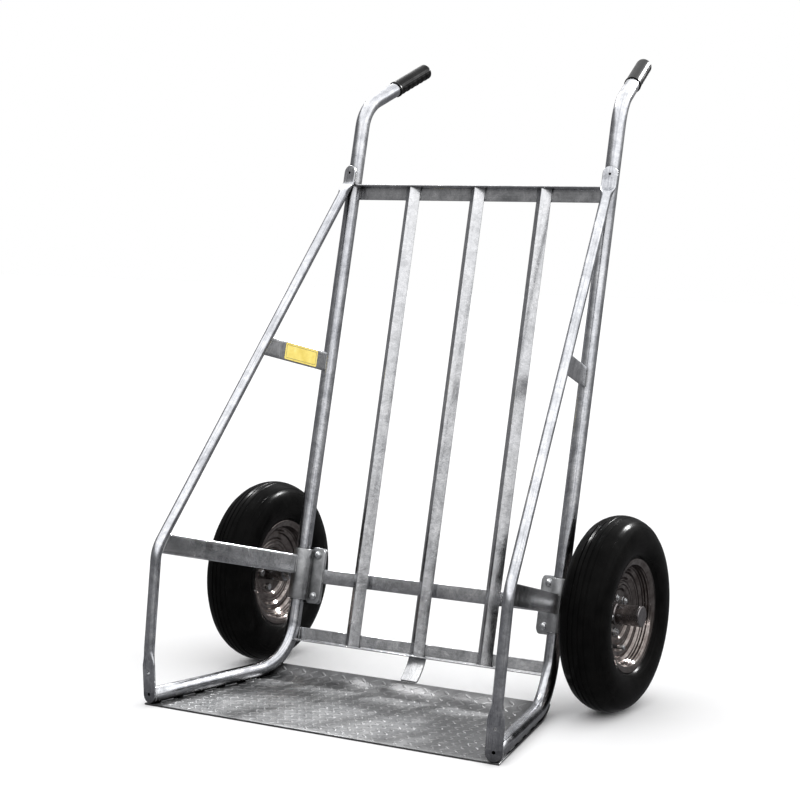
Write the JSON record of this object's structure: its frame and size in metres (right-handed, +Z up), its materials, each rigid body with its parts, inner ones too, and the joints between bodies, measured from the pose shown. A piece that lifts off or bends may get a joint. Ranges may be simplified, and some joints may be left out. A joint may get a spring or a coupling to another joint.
{
  "type": "hand truck",
  "caption": "Upright steel hand truck with splayed bent-tube side frames, brace tubes, slatted back, wide tread-plate toe and pneumatic wheels.",
  "frame": {"origin": "on the floor, at the centre of the overall length and width", "axes": "+X across the truck, -Y towards the load side with the toe plate, +Z up"},
  "size_m": [0.9602, 0.9161, 1.3449],
  "materials": {
    "galvanised": "hot-dip galvanised",
    "zinc_fasteners": "bright zinc",
    "rim_steel": "zinc plated, satin",
    "tyre_rubber": "smooth",
    "tube_rubber": "matte",
    "grip_rubber": "satin",
    "label_film": "printed film, blank"
  },
  "bodies": {
    "frame": {"left_main_tube": "galvanised", "right_main_tube": "galvanised", "left_brace_tube": "galvanised", "right_brace_tube": "galvanised", "top_crossbar": "galvanised", "middle_crossbar": "galvanised", "lower_crossbar": "galvanised", "left_slat": "galvanised", "centre_slat": "galvanised", "right_slat": "galvanised", "centre_strap": "galvanised", "left_upper_bar": "galvanised", "right_upper_bar": "galvanised", "left_lower_bar": "galvanised", "right_lower_bar": "galvanised", "toe_plate": "galvanised", "left_grip": "grip_rubber", "right_grip": "grip_rubber", "axle": "zinc_fasteners", "left_clamp": "galvanised", "right_clamp": "galvanised", "left_axle_bracket": "galvanised", "right_axle_bracket": "galvanised", "clamp_bolts": "zinc_fasteners", "axle_collars": "zinc_fasteners", "axle_nuts": "zinc_fasteners", "blank_label": "label_film"},
    "left_wheel": {"left_tyre": "tyre_rubber", "left_inner_tube": "tube_rubber", "left_rim_outer": "rim_steel", "left_rim_inner": "rim_steel", "left_hub": "rim_steel", "left_bearings": "zinc_fasteners", "left_rim_bolts": "zinc_fasteners", "left_valve": "tube_rubber", "left_hub_cap": "rim_steel"},
    "right_wheel": {"right_tyre": "tyre_rubber", "right_inner_tube": "tube_rubber", "right_rim_outer": "rim_steel", "right_rim_inner": "rim_steel", "right_hub": "rim_steel", "right_bearings": "zinc_fasteners", "right_rim_bolts": "zinc_fasteners", "right_valve": "tube_rubber", "right_hub_cap": "rim_steel"}
  },
  "joints": [
    {"name": "left_wheel_spin", "type": "hinge", "parent": "frame", "child": "left_wheel", "pos_m": [-0.4215, 0.02524, 0.2], "axis": [1, 0, 0], "continuous": true},
    {"name": "right_wheel_spin", "type": "hinge", "parent": "frame", "child": "right_wheel", "pos_m": [0.4215, 0.02524, 0.2], "axis": [1, 0, 0], "continuous": true}
  ]
}
